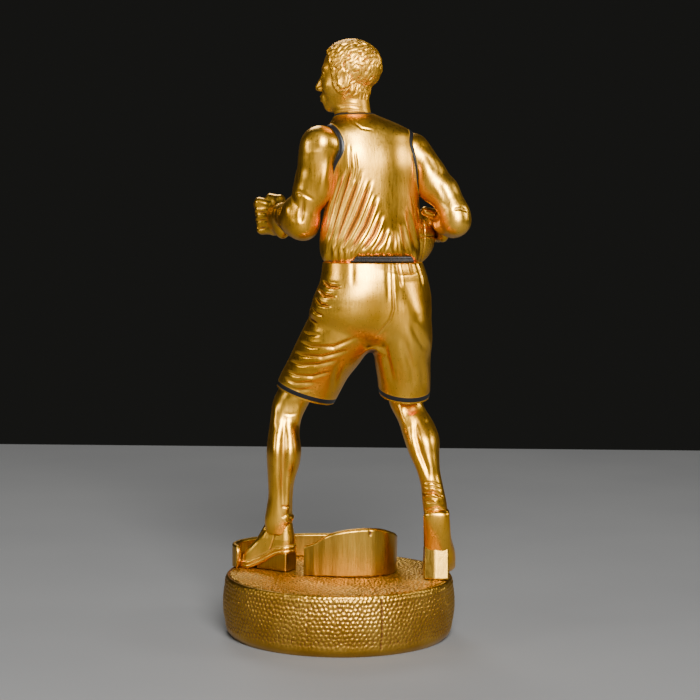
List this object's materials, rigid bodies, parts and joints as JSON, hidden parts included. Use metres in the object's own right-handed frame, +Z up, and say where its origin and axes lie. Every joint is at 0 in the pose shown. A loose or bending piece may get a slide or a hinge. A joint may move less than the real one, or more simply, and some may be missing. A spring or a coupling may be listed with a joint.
{
  "type": "figure trophy",
  "caption": "Cast gold figure of a basketball player with a ball at the right hip, standing over a curled ribbon band on a round pebbled plinth.",
  "frame": {"origin": "centre of the plinth's underside, where the trophy rests", "axes": "+Z up the figure; +Y the way the player's back faces; +X towards the raised left fist"},
  "size_m": [0.0801, 0.076, 0.1936],
  "materials": {
    "plinth_gold": "gold metallic paint with a brown wash, on cast polyresin",
    "ribbon_gold": "gold metallic paint with brushed streaks, on cast polyresin",
    "shoe_gold": "gold metallic paint with a brown wash, on cast polyresin",
    "skin_gold": "smooth gold metallic paint, on cast polyresin",
    "kit_gold": "satin gold metallic paint with a brown wash in the folds, on cast polyresin",
    "ball_gold": "gold metallic paint over fine pebbles, on cast polyresin",
    "trim_black": "black paint over fine ribs, on cast polyresin",
    "pad_felt": "black wool felt",
    "rod_steel": "bright drawn steel rod"
  },
  "bodies": {
    "root": {"plinth": "plinth_gold", "base_pad": "pad_felt", "ribbon": "ribbon_gold", "left_shoe": "shoe_gold", "right_shoe": "shoe_gold", "left_heel_block": "ribbon_gold", "right_heel_block": "ribbon_gold", "left_leg": "skin_gold", "right_leg": "skin_gold", "shorts": "kit_gold", "waistband": "trim_black", "jersey": "kit_gold", "head": "skin_gold", "left_arm": "skin_gold", "right_arm": "skin_gold", "basketball": "ball_gold", "left_leg_rod": "rod_steel", "right_leg_rod": "rod_steel", "waist_dowel": "rod_steel", "neck_dowel": "rod_steel", "left_shoulder_dowel": "rod_steel", "right_shoulder_dowel": "rod_steel", "ball_dowel": "rod_steel"}
  },
  "joints": []
}
